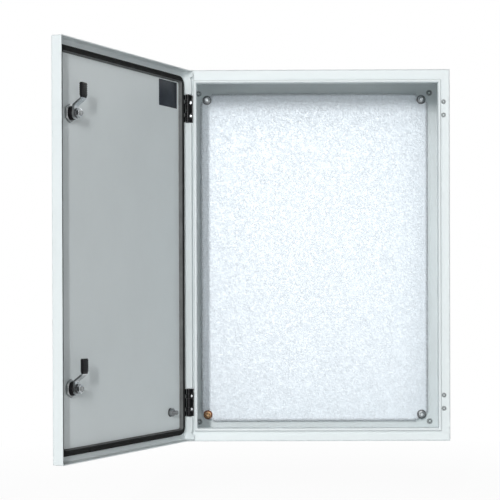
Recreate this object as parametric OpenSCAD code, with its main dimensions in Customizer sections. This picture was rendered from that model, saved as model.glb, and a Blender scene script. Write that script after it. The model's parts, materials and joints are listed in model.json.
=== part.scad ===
// Steel wall enclosure, 500 x 700 x 210 mm, with a hinged door that two
// quarter-turn cam locks hold shut.
// The frame: X to the right, Y into the wall, Z up. The origin is the middle
// of the four wall-fixing holes, on the rear face that lies on the wall.
// The door is drawn shut and then swung open about its hinge line.

/* [Body] */
// Width over the side walls
body_w = 500; // [400:10:800]
// Height over the top and bottom walls
body_h = 700; // [600:10:1000]
// Depth from the wall to the face of the front flange
body_d = 188.5; // [150:0.5:300]
// Thickness of the body and door sheet
sheet = 1.5; // [1.2:0.1:2]
// Width of the flange outside the rim, at the sides
side_channel = 18; // [17:0.5:24]
// Width of the flange outside the rim, at top and bottom
top_channel = 20.5; // [19:0.5:26]
// How far the rim stands in front of the flange
rim_rise = 12; // [11:0.5:13]
// Thickness of the rim across its rounded nose
rim_w = 5.5; // [5:0.5:8]
// How far the inner leg of the rim reaches behind the flange
rim_return = 5; // [4:0.5:6]

/* [Wall fixing] */
// Hole diameter for the wall screws
wall_hole_d = 9; // [6:0.5:12]
// Distance of the wall holes from the side edges
wall_inset_x = 20; // [18:0.5:22]
// Distance of the wall holes from the top and bottom edges
wall_inset_z = 22.5; // [20:0.5:24]

/* [Mounting plate] */
// Gap around the mounting plate, to the outside of the body
plate_margin = 25; // [24:0.5:27]
// Thickness of the mounting plate
plate_t = 2; // [1.5:0.5:3]
// Distance of the plate from the back panel
plate_standoff = 12; // [8:1:20]
// Distance of the plate holes from the plate edges
plate_hole_inset = 12.5; // [11:0.5:14]
// Width of the corner cut along the top and bottom edges
plate_cut_x = 24; // [22:1:26]
// Height of the corner cut along the side edges
plate_cut_z = 17.5; // [16:0.5:19]

/* [Door] */
// Gap between the door edge and the edge of the body, all round
door_gap = 4; // [3.5:0.5:4.5]
// How far the shut door stands in front of the flange
door_t = 21.5; // [21:0.5:22.5]
// Depth of the folded door edge
door_fold = 19.5; // [19:0.5:20]
// How much shallower the fold is along the hinge side
hinge_relief = 3; // [2:0.5:4]
// Angle at which the door stands open, from shut
door_open = 113; // [0:1:120]
// Width of the foam gasket
gasket_w = 12; // [10:0.5:13]
// Height of the foam gasket
gasket_h = 7.6; // [6:0.1:7.7]

/* [Hinges] */
// Distance of the middle of each hinge from the top or bottom edge
hinge_inset = 74; // [72:1:150]
// Length of each hinge
hinge_len = 51; // [48:1:56]
// Distance between the two fixing screws of a hinge
hinge_pitch = 25; // [24:0.5:26]
// Diameter of the hinge pin
pin_d = 4; // [3:0.5:4.5]
// Diameter of the hinge knuckles
knuckle_d = 7; // [6.5:0.1:7]

/* [Locks] */
// Distance of each lock axis from the top or bottom edge
lock_inset_z = 125; // [112:1:250]
// Distance of each lock axis from the free side edge
lock_inset_x = 58; // [56:0.5:60]
// Diameter of the threaded lock housing
lock_d = 22; // [20:0.5:24]
// Length of the housing behind the door sheet
lock_len = 11.5; // [10:0.5:12]
// Width across flats of the lock nut
lock_nut_af = 27; // [26:1:30]
// Reach of the cam from the lock axis
cam_reach = 48; // [46:0.5:49]

/* [Gland plate] */
// Length of the cable opening in the bottom wall
gland_l = 300; // [200:10:340]
// Depth of the cable opening in the bottom wall
gland_w = 90; // [60:5:100]

/* [Hidden] */
$fn = 64;

// Slack that keeps cutting shapes clear of the faces they cut
cut = 1;
// Running clearance on a radius
fit = 0.05;
// Flats in a quarter bend
bend_steps = 6;

// Levels along Y
flange_y = -body_d;
rim_y = flange_y - rim_rise;
door_face_y = flange_y - door_t;
door_in_y = door_face_y + sheet;
back_in_y = -sheet;
plate_back_y = back_in_y - plate_standoff;
plate_face_y = plate_back_y - plate_t;

// Rim: the outside of its outer wall, as half sizes
rim_x = body_w / 2 - side_channel;
rim_z = body_h / 2 - top_channel;
open_x = rim_x - rim_w;
open_z = rim_z - rim_w;
// The flange is drawn in two parts that overlap, one with the outer bend and
// one with the rim
flange_part = min(side_channel, top_channel) - 2;
rim_lap = max(side_channel, top_channel) - flange_part + 1.5;
rim_bend_r = 1.5;

// Mounting plate
plate_w = body_w - 2 * plate_margin;
plate_h = body_h - 2 * plate_margin;
stud_x = plate_w / 2 - plate_hole_inset;
stud_z = plate_h / 2 - plate_hole_inset;

// M8 fastener set; stud_end is how far a stud shows past its nut
m8 = 8;
m8_washer_d = 16;
m8_washer_t = 1.6;
m8_nut_af = 13;
m8_nut_h = 6.5;
stud_end = 3.5;
// Play in diameter of a washer or spacer on its stud, and of a nut
washer_play = 0.2;
nut_play = 0.1;
plate_washer_d = 18;
spacer_d = 14;
plate_washer_y = plate_face_y - m8_washer_t;
plate_nut_y = plate_washer_y - m8_nut_h;
stud_end_y = plate_nut_y - stud_end;
plate_hole_d = 9;

// Door edges, as half sizes, and the bend radius of all sheet
door_x = body_w / 2 - door_gap;
door_z = body_h / 2 - door_gap;
bend_r = 2.5;
corner_r = 2.5;
// Width of sheet drawn with the fold, and where the flat panel meets it
fold_lap = 12;
panel_inset = fold_lap - 2;
// Relief along the hinge side: its half length, the bore at each end, and the
// gap at each end of a hinge's window
corner_keep = rim_z + 3;
relief_d = 6;
window_gap = 1.5;

// Gasket: how far its outer edges lie outside the rim, and its corners
gasket_lap_x = 0.5;
gasket_lap_z = 5.5;
gasket_x = rim_x + gasket_lap_x;
gasket_z = rim_z + gasket_lap_z;
gasket_r = 16;

// Hinge line, from the door's edge and in front of the flange
pivot_inset = 3;
pivot_lift = 12;
pivot_x = -(door_x - pivot_inset);
pivot_y = flange_y - pivot_lift;
hinge_z = body_h / 2 - hinge_inset;
pin_head_d = pin_d + 2;
pin_head_t = 1.2;
knuckle_r = knuckle_d / 2;
leaf_t = 3;
leaf_out = 3.5;
leaf_in = 9.5;
arm_lean = 30;
screw_inset = 12;
screw_x = body_w / 2 - screw_inset;
arm_mid = 16;
arm_gap = 0.5;
arm_door = hinge_pitch - arm_mid - 2 * arm_gap;
arm_foot = 2.5;
foot_gap = 1;
arm_root = 0.6;
m5 = 5;
flange_hole_d = 6;
plug_head_d = 9;
plug_head_t = 1.2;
plug_barb = 0.8;
plug_barb_t = 1.5;
m5_head_d = 8.5;
m5_head_h = 2.6;
m5_nut_af = 8;
m5_nut_h = 4;
m5_end = 1.5;
leaf_hole_d = m5 + 0.5;
foot_t = 2.5;
foot_stud_d = 4;
foot_stud_x = pivot_x + 5.5;
foot_stud_end = 0.6;
foot_nut_af = 7;
foot_nut_h = 2.2;

// Lock levels, as heights above the inner face of the door sheet
lock_x = body_w / 2 - lock_inset_x;
lock_z = body_h / 2 - lock_inset_z;
seal_t = 1;
head_t = 3.5;
head_d = 28;
lock_nut_h = 5.5;
rotor_d = 14;
rotor_head_d = 18;
rotor_head_t = 2.5;
rotor_recess = 0.4;
socket_d = 12;
socket_depth = 6;
socket_step = 0.6;
key_post_d = 5;
key_wing_l = 8.4;
key_wing_w = 2;
// Step of the housing's bore behind the rotor's head, and the head's chamfer
head_step = 0.5;
head_chamfer = 1;
housing_hole_d = lock_d + 0.5;
cam_t = 3;
cam_w = 16;
cam_base_r = 10;
cam_gap = 0.1;
cam_bend_r = 3;
cam_level = lock_len + cam_gap;
// The tip passes behind the rim's inner leg
rim_clear = 3;
tip_level = door_t - sheet + rim_return + rim_clear;
sleeve_t = 5.5;
sleeve_w = 18;
crank_start = 13;
crank_end = 24;
sleeve_start = crank_end + 2.5;
sleeve_end = cam_reach + 1.5;
sleeve_r = 2.5;
square = 8;

// Earth stud on the door
earth_inset_x = 70;
earth_inset_z = 60;
earth_x = -(body_w / 2 - earth_inset_x);
earth_z = -(body_h / 2 - earth_inset_z);
earth_len = 16;

// Gland plate on the inside of the bottom wall
gland_y = flange_y / 2;
gland_lap = 14;
gland_gasket_t = 3;
gland_plate_t = 2;
gland_screw_d = 5;
gland_head_d = 9.5;
gland_head_h = 3;
gland_screw_end = 2;
gland_hole_d = gland_screw_d + 1;
gland_top = -body_h / 2 + sheet;

// ---------------------------------------------------------------- helpers

function unit(v) = v / norm(v);
function left_of(v) = [-v.y, v.x];

// One edge of a bent sheet at the corner b of a path a-b-c: the edge lies off
// to the left of the middle line, and the middle line bends with radius r.
function bend(a, b, c, r, off) =
  let (
    u = unit(b - a),
    v = unit(c - b),
    turn = atan2(u.x * v.y - u.y * v.x, u * v),
    s = sign(turn),
    centre = b - u * r * tan(abs(turn) / 2) + s * r * left_of(u),
    start = atan2(-s * left_of(u).y, -s * left_of(u).x)
  )
  [for (k = [0:bend_steps])
    centre + (r - s * off) * [cos(start + turn * k / bend_steps), sin(start + turn * k / bend_steps)]];

// One whole edge of a bent sheet along a path, with its own radius per corner
function sheet_edge(path, radii, off) =
  let (
    last = len(path) - 1,
    first_dir = unit(path[1] - path[0]),
    last_dir = unit(path[last] - path[last - 1])
  )
  [
    path[0] + off * left_of(first_dir),
    for (i = [1:last - 1]) each bend(path[i - 1], path[i], path[i + 1], radii[i - 1], off),
    path[last] + off * left_of(last_dir)
  ];

function reversed(list) = [for (i = [len(list) - 1:-1:0]) list[i]];

// Section of a sheet of thickness t bent along a path
module sheet_section(path, radii, t) {
  polygon(concat(sheet_edge(path, radii, t / 2), reversed(sheet_edge(path, radii, -t / 2))));
}

// One mitred length of a frame. The section is drawn for the right-hand side
// in X and Y; half_w and half_h are where the mitres meet, and they run on
// outwards by reach.
module mitred_side(half_w, half_h, reach) {
  depth = open_x;
  intersection() {
    translate([0, 0, -half_h - reach])
      linear_extrude(2 * (half_h + reach)) children();
    rotate([90, 0, 0])
      translate([0, 0, -body_d])
        linear_extrude(3 * body_d)
          polygon([
            [half_w - depth, half_h - depth],
            [half_w + reach, half_h + reach],
            [half_w + reach, -half_h - reach],
            [half_w - depth, -half_h + depth]
          ]);
  }
}

// A whole frame: at the sides as drawn, and at top and bottom moved so that
// the mitres meet in the corners
module mitred_frame(half_w, half_h, reach) {
  for (turn = [0, 180])
    rotate([0, turn, 0]) mitred_side(half_w, half_h, reach) children();
  for (turn = [90, 270])
    rotate([0, turn, 0]) mitred_side(half_h, half_w, reach) translate([half_h - half_w, 0]) children();
}

// Rounds the four corners that run along Y
module with_round_corners(half_w, half_h) {
  intersection() {
    children();
    rotate([90, 0, 0])
      translate([0, 0, -cut])
        linear_extrude(2 * body_d) polygon(rounded_rect(half_w, half_h, corner_r));
  }
}

module bolt_hole(d, length) {
  rotate([90, 0, 0]) cylinder(d = d, h = length, center = true);
}

// A round piece from y_from to y_to along Y
module round_y(d, y_from, y_to) {
  translate([0, y_to, 0]) rotate([90, 0, 0]) cylinder(d = d, h = y_to - y_from);
}

// A flat ring from y_from to y_to along Y
module ring_y(d, hole, y_from, y_to) {
  difference() {
    round_y(d, y_from, y_to);
    round_y(hole, y_from - cut, y_to + cut);
  }
}

// A hexagon nut with its bore along Y
module nut_y(af, hole, y_from, y_to) {
  difference() {
    translate([0, y_to, 0]) rotate([90, 0, 0]) cylinder(d = af / cos(30), h = y_to - y_from, $fn = 6);
    round_y(hole, y_from - cut, y_to + cut);
  }
}

// A pan-head screw along Y: the head sits on y_seat and the shank ends at y_end
module pan_screw_y(d, head_d, head_h, y_seat, y_end) {
  round_y(d, y_seat, y_end);
  translate([0, y_seat, 0])
    rotate([90, 0, 0])
      difference() {
        union() {
          cylinder(d = head_d, h = head_h * 0.5);
          translate([0, 0, head_h * 0.5]) cylinder(d1 = head_d, d2 = head_d * 0.7, h = head_h * 0.5);
        }
        translate([0, 0, head_h * 0.55]) cross_recess(head_d * 0.5, head_h);
      }
}

module cross_recess(width, depth) {
  for (turn = [0, 90])
    rotate([0, 0, turn])
      translate([-width / 2, -width / 8, 0])
        cube([width, width / 4, depth]);
}

// Corners of a rounded rectangle in two dimensions
function arc_corner(x, y, r, start) =
  [for (k = [0:bend_steps])
    let (angle = start + 90 * k / bend_steps) [x + r * cos(angle), y + r * sin(angle)]];

function rounded_rect(half_w, half_h, r) = concat(
  arc_corner(half_w - r, half_h - r, r, 0),
  arc_corner(r - half_w, half_h - r, r, 90),
  arc_corner(r - half_w, r - half_h, r, 180),
  arc_corner(half_w - r, r - half_h, r, 270)
);

// Places its children at the four corners of a rectangle
module at_corners(x, z) {
  for (sx = [-1, 1], sz = [-1, 1]) translate([sx * x, 0, sz * z]) children();
}

// Heights of the fixings of both hinges
function hinge_fixings() = [for (side = [-1, 1], k = [-1, 1]) side * hinge_z + k * hinge_pitch / 2];

// Swings what is drawn on the shut door to where the door stands open
module on_door() {
  translate([pivot_x, pivot_y, 0])
    rotate([0, 0, -door_open])
      translate([-pivot_x, -pivot_y, 0])
        children();
}

// A lock's own frame on the door: origin on its axis at the inner face of the
// door sheet, with Y still pointing into the body
module at_lock(side) {
  on_door() translate([lock_x, door_in_y, side * lock_z]) children();
}

// ---------------------------------------------------------------- body

// Side wall, front bend and the outer part of the flange
module outer_section() {
  sheet_section(
    [
      [body_w / 2 - sheet / 2, 0],
      [body_w / 2 - sheet / 2, flange_y + sheet / 2],
      [body_w / 2 - flange_part, flange_y + sheet / 2]
    ],
    [bend_r], sheet);
}

// Inner part of the flange, rising into the rim with its rounded nose
module rim_section() {
  outer = rim_x - sheet / 2;
  inner = open_x + sheet / 2;
  nose = rim_y + sheet / 2;
  sheet_section(
    [
      [rim_x + rim_lap, flange_y + sheet / 2],
      [outer, flange_y + sheet / 2],
      [outer, nose],
      [inner, nose],
      [inner, flange_y + rim_return]
    ],
    [rim_bend_r, (outer - inner) / 2, (outer - inner) / 2], sheet);
}

module enclosure_shell() {
  color("#d5dad9")
    difference() {
      union() {
        with_round_corners(body_w / 2, body_h / 2)
          mitred_frame(body_w / 2, body_h / 2, cut) outer_section();
        mitred_frame(rim_x, rim_z, rim_lap + cut) rim_section();
      }
      for (side = [-1, 1], z = hinge_fixings())
        translate([side * screw_x, flange_y, z]) bolt_hole(flange_hole_d, 3 * sheet);
      translate([0, gland_y, -body_h / 2]) {
        cube([gland_l, gland_w, 4 * sheet], center = true);
        gland_holes() cylinder(d = gland_hole_d, h = 4 * sheet, center = true);
      }
    }
}

module back_panel() {
  color("#d5dad9")
    difference() {
      translate([-body_w / 2 + sheet, back_in_y, -body_h / 2 + sheet])
        cube([body_w - 2 * sheet, sheet, body_h - 2 * sheet]);
      at_corners(body_w / 2 - wall_inset_x, body_h / 2 - wall_inset_z) bolt_hole(wall_hole_d, 4 * sheet);
    }
}

// Weld studs that carry the mounting plate
module plate_studs() {
  color("#b9bdc0") at_corners(stud_x, stud_z) round_y(m8, stud_end_y, back_in_y);
}

module plate_spacers() {
  color("#b9bdc0") at_corners(stud_x, stud_z) ring_y(spacer_d, m8 + washer_play, plate_back_y, back_in_y);
}

module mounting_plate() {
  x = plate_w / 2;
  z = plate_h / 2;
  color("#c3cbd2")
    difference() {
      translate([0, plate_back_y, 0])
        rotate([90, 0, 0])
          linear_extrude(plate_t)
            polygon([
              [x - plate_cut_x, z], [-x + plate_cut_x, z], [-x, z - plate_cut_z], [-x, -z + plate_cut_z],
              [-x + plate_cut_x, -z], [x - plate_cut_x, -z], [x, -z + plate_cut_z], [x, z - plate_cut_z]
            ]);
      at_corners(stud_x, stud_z) translate([0, plate_back_y, 0]) bolt_hole(plate_hole_d, 4 * plate_t);
    }
}

// Places its children on the three studs that hold plain nuts
module at_plain_studs() {
  for (s = [[-1, 1], [1, 1], [1, -1]]) translate([s.x * stud_x, 0, s.y * stud_z]) children();
}

module at_earth_stud() {
  translate([-stud_x, 0, -stud_z]) children();
}

module plate_washers() {
  color("#c4c8ca") at_plain_studs() ring_y(plate_washer_d, m8 + washer_play, plate_washer_y, plate_face_y);
}

module plate_nuts() {
  color("#c4c8ca") at_plain_studs() nut_y(m8_nut_af, m8 + nut_play, plate_nut_y, plate_washer_y);
}

module earth_washer() {
  color("#b5713c") at_earth_stud() ring_y(plate_washer_d, m8 + washer_play, plate_washer_y, plate_face_y);
}

module earth_nut() {
  color("#c08a45") at_earth_stud() nut_y(m8_nut_af, m8 + nut_play, plate_nut_y, plate_washer_y);
}

// Plugs in the hinge holes of the side without hinges
module flange_plugs() {
  color("#c9cfce")
    for (z = hinge_fixings())
      translate([screw_x, 0, z]) {
        round_y(plug_head_d, flange_y - plug_head_t, flange_y);
        round_y(flange_hole_d - washer_play, flange_y, flange_y + sheet);
        round_y(flange_hole_d + plug_barb, flange_y + sheet, flange_y + sheet + plug_barb_t);
      }
}

// ---------------------------------------------------------------- gland plate

// Places its children on the eight gland plate screws
module gland_holes() {
  x = gland_l / 2 + gland_lap / 2;
  y = gland_w / 2 + gland_lap / 2;
  for (sx = [-1, 1], k = [-1, 1]) translate([sx * x, k * y, 0]) children();
  for (k = [-1, 1], sx = [-1, 1]) translate([sx * gland_l / 6, k * y, 0]) children();
}

module gland_sheet(t) {
  translate([-gland_l / 2 - gland_lap, -gland_w / 2 - gland_lap, 0])
    cube([gland_l + 2 * gland_lap, gland_w + 2 * gland_lap, t]);
}

module gland_gasket() {
  color("#1d1e20")
    translate([0, gland_y, gland_top])
      difference() {
        gland_sheet(gland_gasket_t);
        cube([gland_l - 2, gland_w - 2, 4 * gland_gasket_t], center = true);
        gland_holes() cylinder(d = gland_hole_d, h = 4 * gland_gasket_t, center = true);
      }
}

module gland_plate() {
  color("#d5dad9")
    translate([0, gland_y, gland_top + gland_gasket_t])
      difference() {
        gland_sheet(gland_plate_t);
        gland_holes() cylinder(d = gland_screw_d + nut_play, h = 4 * gland_plate_t, center = true);
      }
}

// Screws put in from below, into the threads of the gland plate
module gland_screws() {
  reach = sheet + gland_gasket_t + gland_plate_t + gland_screw_end;
  color("#c4c8ca")
    translate([0, gland_y, -body_h / 2])
      gland_holes() {
        cylinder(d = gland_screw_d, h = reach);
        translate([0, 0, -gland_head_h])
          difference() {
            union() {
              cylinder(d1 = gland_head_d * 0.7, d2 = gland_head_d, h = gland_head_h * 0.5);
              translate([0, 0, gland_head_h * 0.5]) cylinder(d = gland_head_d, h = gland_head_h * 0.5);
            }
            translate([0, 0, -cut]) cross_recess(gland_head_d * 0.5, cut + gland_head_h * 0.45);
          }
      }
}

// ---------------------------------------------------------------- hinges

// Heights, from the middle of a hinge, where the arms of a leaf lie
function body_arms() = [
  [-hinge_len / 2, -hinge_pitch / 2 - arm_door / 2 - arm_gap],
  [-arm_mid / 2, arm_mid / 2],
  [hinge_pitch / 2 + arm_door / 2 + arm_gap, hinge_len / 2]
];
function door_arms() = [
  for (k = [-1, 1]) [k * hinge_pitch / 2 - arm_door / 2, k * hinge_pitch / 2 + arm_door / 2]
];

// Section of an arm that leans from the pin to the flange
module body_arm_section() {
  reach = flange_y - leaf_t / 2 - pivot_y;
  side = knuckle_r - arm_root;
  circle(d = knuckle_d);
  polygon([
    [-side * cos(arm_lean), side * sin(arm_lean)],
    [leaf_out, reach],
    [leaf_in - 1, reach],
    [side, 0]
  ]);
}

// Section of an arm that drops from the pin to the foot on the door sheet
module door_arm_section() {
  reach = door_in_y + foot_t / 2 - pivot_y;
  circle(d = knuckle_d);
  polygon([
    [-arm_foot, 0],
    [-arm_foot, reach],
    [foot_gap, reach],
    [foot_gap, 0]
  ]);
}

// The leaf on the body: a plate on the flange with three arms up to the pin
module body_leaf(side) {
  color("#26282a")
    translate([0, 0, side * hinge_z])
      difference() {
        union() {
          translate([pivot_x - leaf_out, flange_y - leaf_t, -hinge_len / 2])
            cube([leaf_out + leaf_in, leaf_t, hinge_len]);
          for (arm = body_arms())
            translate([pivot_x, pivot_y, arm[0]])
              linear_extrude(arm[1] - arm[0]) body_arm_section();
        }
        translate([pivot_x, pivot_y, -hinge_len]) cylinder(d = pin_d + 2 * fit, h = 2 * hinge_len);
        for (k = [-1, 1])
          translate([-screw_x, flange_y, k * hinge_pitch / 2]) bolt_hole(leaf_hole_d, 4 * leaf_t);
      }
}

// The leaf on the door: a foot on the door sheet with two arms to the pin
module door_leaf(side) {
  color("#26282a")
    on_door()
      translate([0, 0, side * hinge_z])
        difference() {
          union() {
            translate([pivot_x - arm_foot, door_in_y, -hinge_len / 2])
              cube([arm_foot + leaf_in - 0.5, foot_t, hinge_len]);
            for (arm = door_arms())
              translate([pivot_x, pivot_y, arm[0]])
                linear_extrude(arm[1] - arm[0]) door_arm_section();
          }
          translate([pivot_x, pivot_y, -hinge_len]) cylinder(d = pin_d + 2 * fit, h = 2 * hinge_len);
          for (k = [-1, 1])
            translate([foot_stud_x, door_in_y, k * hinge_pitch / 2])
              bolt_hole(foot_stud_d + washer_play, 4 * foot_t);
        }
}

module hinge_pin(side) {
  color("#3a3c3e")
    translate([pivot_x, pivot_y, side * hinge_z - hinge_len / 2]) {
      cylinder(d = pin_d, h = hinge_len);
      translate([0, 0, hinge_len]) cylinder(d = pin_head_d, h = pin_head_t);
    }
}

// Screws that hold the body leaves to the flange, and the nuts behind it
module hinge_screws() {
  color("#d0d3d5")
    for (z = hinge_fixings())
      translate([-screw_x, 0, z])
        pan_screw_y(m5, m5_head_d, m5_head_h, flange_y - leaf_t, flange_y + sheet + m5_nut_h + m5_end);
}

module hinge_nuts() {
  color("#c4c8ca")
    for (z = hinge_fixings())
      translate([-screw_x, flange_y + sheet, z]) nut_y(m5_nut_af, m5 + nut_play, 0, m5_nut_h);
}

module door_leaf_studs() {
  color("#b9bdc0")
    on_door()
      for (z = hinge_fixings())
        translate([foot_stud_x, door_in_y, z])
          round_y(foot_stud_d, 0, foot_t + foot_nut_h + foot_stud_end);
}

module door_leaf_nuts() {
  color("#c4c8ca")
    on_door()
      for (z = hinge_fixings())
        translate([foot_stud_x, 0, z])
          nut_y(foot_nut_af, foot_stud_d + nut_play, door_in_y + foot_t, door_in_y + foot_t + foot_nut_h);
}

// ---------------------------------------------------------------- door

// Edge of the door sheet, folded back towards the body
module fold_section() {
  sheet_section(
    [
      [door_x - fold_lap, door_face_y + sheet / 2],
      [door_x - sheet / 2, door_face_y + sheet / 2],
      [door_x - sheet / 2, door_face_y + door_fold]
    ],
    [bend_r], sheet);
}

// What the hinge side of the fold leaves free: a shallow strip along the rim
// with round ends, and a window at each hinge
module hinge_side_cuts() {
  edge_y = door_face_y + door_fold - hinge_relief;
  far = hinge_relief + cut;
  translate([-door_x - cut, edge_y, -corner_keep])
    cube([bend_r + 2 * cut, far, 2 * corner_keep]);
  for (side = [-1, 1])
    translate([-door_x, edge_y + 1, side * corner_keep])
      rotate([0, 90, 0]) cylinder(d = relief_d, h = 4 * sheet, center = true);
  for (side = [-1, 1])
    translate([-door_x - cut, door_in_y, side * hinge_z - hinge_len / 2 - window_gap])
      cube([bend_r + sheet + cut, door_fold, hinge_len + 2 * window_gap]);
}

module door_panel() {
  color("#cfd5d4")
    on_door()
      difference() {
        union() {
          with_round_corners(door_x, door_z)
            mitred_frame(door_x, door_z, cut) fold_section();
          translate([panel_inset - door_x, door_face_y, panel_inset - door_z])
            cube([2 * (door_x - panel_inset), sheet, 2 * (door_z - panel_inset)]);
        }
        hinge_side_cuts();
        for (side = [-1, 1])
          translate([lock_x, door_face_y, side * lock_z]) bolt_hole(housing_hole_d, 4 * sheet);
      }
}

// Foam gasket laid on the door sheet, in line with the rim
module door_gasket() {
  color("#26282a")
    on_door()
      translate([0, door_in_y + gasket_h, 0])
        rotate([90, 0, 0])
          linear_extrude(gasket_h)
            difference() {
              polygon(rounded_rect(gasket_x, gasket_z, gasket_r));
              polygon(rounded_rect(gasket_x - gasket_w, gasket_z - gasket_w, gasket_r - gasket_w));
            }
}

// Earth stud welded inside the door, with its washer and nut
module at_door_earth() {
  on_door() translate([earth_x, door_in_y, earth_z]) children();
}

module door_earth_stud() {
  color("#c4c8ca") at_door_earth() round_y(m8, 0, earth_len);
}

module door_earth_washer() {
  color("#c4c8ca") at_door_earth() ring_y(m8_washer_d, m8 + washer_play, 0, m8_washer_t);
}

module door_earth_nut() {
  color("#c4c8ca") at_door_earth() nut_y(m8_nut_af, m8 + nut_play, m8_washer_t, m8_washer_t + m8_nut_h);
}

// ---------------------------------------------------------------- locks

// Outer seal between the lock head and the door sheet
module lock_seal(side) {
  color("#1d1e20") at_lock(side) ring_y(head_d - 1, lock_d + washer_play, -sheet - seal_t, -sheet);
}

// Black housing: a round head outside, a threaded barrel through the door
module lock_housing(side) {
  front = -sheet - seal_t;
  color("#26282a")
    at_lock(side)
      difference() {
        union() {
          round_y(lock_d, front, lock_len);
          translate([0, front, 0])
            rotate([90, 0, 0]) {
              cylinder(d = head_d, h = head_t - head_chamfer);
              translate([0, 0, head_t - head_chamfer])
                cylinder(d1 = head_d, d2 = head_d - 2 * head_chamfer, h = head_chamfer);
            }
        }
        round_y(rotor_d + 2 * fit, front - head_t - cut, lock_len + cut);
        round_y(rotor_head_d + 2 * fit, front - head_t - cut, front - head_t + rotor_head_t + head_step);
      }
}

module lock_nut(side) {
  color("#9fa3a5") at_lock(side) nut_y(lock_nut_af, lock_d + nut_play, 0, lock_nut_h);
}

// Turning rotor: a head with a double-bit socket, a round shaft, a square seat
// for the cam and a threaded end
module lock_rotor(side) {
  front = -sheet - seal_t - head_t + rotor_recess;
  color("#a8acae")
    at_lock(side) {
      difference() {
        round_y(rotor_head_d, front, front + rotor_head_t);
        round_y(socket_d, front - cut, front + rotor_head_t - socket_step);
      }
      difference() {
        round_y(rotor_d, front + rotor_head_t - socket_step, cam_level);
        round_y(socket_d, front, front + socket_depth);
      }
      key_post(front + socket_step, front + socket_depth);
      translate([-square / 2, cam_level, -square / 2]) cube([square, cam_t, square]);
      round_y(m8, cam_level + cam_t, cam_level + cam_t + m8_washer_t + m8_nut_h + stud_end);
    }
}

// Post with two wings that the double-bit key turns
module key_post(y_from, y_to) {
  round_y(key_post_d, y_from, y_to);
  translate([-key_wing_l / 2, y_from, -key_wing_w / 2]) cube([key_wing_l, y_to - y_from, key_wing_w]);
}

// Cranked cam: a base on the square, a slope, and a tip that hooks the rim
module cam(side) {
  base = cam_level + cam_t / 2;
  color("#b4b8ba")
    at_lock(side)
      difference() {
        intersection() {
          translate([-cam_w / 2, 0, 0])
            rotate([90, 0, 90])
              linear_extrude(cam_w)
                sheet_section(
                  [
                    [base, -cam_base_r],
                    [base, crank_start],
                    [tip_level, crank_end],
                    [tip_level, cam_reach]
                  ],
                  [cam_bend_r, cam_bend_r], cam_t);
          union() {
            round_y(2 * cam_base_r, cam_level - cut, cam_level + cam_t + cut);
            translate([-cam_w / 2, 0, 0]) cube([cam_w, 2 * tip_level, cam_reach + cut]);
          }
        }
        translate([-square / 2 - fit, 0, -square / 2 - fit])
          cube([square + 2 * fit, lock_len + 2 * cam_t, square + 2 * fit]);
      }
}

// Plastic sleeve pushed over the tip of the cam
module cam_sleeve(side) {
  color("#26282a")
    at_lock(side)
      difference() {
        translate([0, tip_level + sleeve_t / 2, (sleeve_start + sleeve_end) / 2])
          rotate([90, 0, 0])
            linear_extrude(sleeve_t)
              polygon(rounded_rect(sleeve_w / 2, (sleeve_end - sleeve_start) / 2, sleeve_r));
        translate([-cam_w / 2 - fit, tip_level - cam_t / 2 - fit, sleeve_start - cut])
          cube([cam_w + 2 * fit, cam_t + 2 * fit, cam_reach + fit - sleeve_start + cut]);
      }
}

module cam_washer(side) {
  y = cam_level + cam_t;
  color("#c4c8ca") at_lock(side) ring_y(m8_washer_d, m8 + washer_play, y, y + m8_washer_t);
}

module cam_nut(side) {
  y = cam_level + cam_t + m8_washer_t;
  color("#c4c8ca") at_lock(side) nut_y(m8_nut_af, m8 + nut_play, y, y + m8_nut_h);
}

// ---------------------------------------------------------------- nodes

enclosure_shell();
back_panel();
plate_studs();
plate_spacers();
mounting_plate();
plate_washers();
plate_nuts();
earth_washer();
earth_nut();
flange_plugs();
gland_gasket();
gland_plate();
gland_screws();
body_leaf(1);  // upper_hinge_leaf
body_leaf(-1);  // lower_hinge_leaf
hinge_pin(1);  // upper_hinge_pin
hinge_pin(-1);  // lower_hinge_pin
hinge_screws();
hinge_nuts();
door_panel();
door_gasket();
door_leaf(1);  // upper_door_leaf
door_leaf(-1);  // lower_door_leaf
door_leaf_studs();
door_leaf_nuts();
door_earth_stud();
door_earth_washer();
door_earth_nut();
lock_housing(1);  // upper_lock_housing
lock_seal(1);  // upper_lock_seal
lock_nut(1);  // upper_lock_nut
lock_rotor(1);  // upper_lock_rotor
cam(1);  // upper_cam
cam_sleeve(1);  // upper_cam_sleeve
cam_washer(1);  // upper_cam_washer
cam_nut(1);  // upper_cam_nut
lock_housing(-1);  // lower_lock_housing
lock_seal(-1);  // lower_lock_seal
lock_nut(-1);  // lower_lock_nut
lock_rotor(-1);  // lower_lock_rotor
cam(-1);  // lower_cam
cam_sleeve(-1);  // lower_cam_sleeve
cam_washer(-1);  // lower_cam_washer
cam_nut(-1);  // lower_cam_nut
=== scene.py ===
"""Looks of a steel wall enclosure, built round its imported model.

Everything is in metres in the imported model's frame: X to the right, Y into the
wall, Z up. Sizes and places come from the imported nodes. What lies on the door is
made on the shut door and then swung open about the hinge line.
"""

import json
import math

import bmesh
import bpy
from bpy.props import FloatProperty, FloatVectorProperty, PointerProperty
from mathutils import Matrix, Vector


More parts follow.
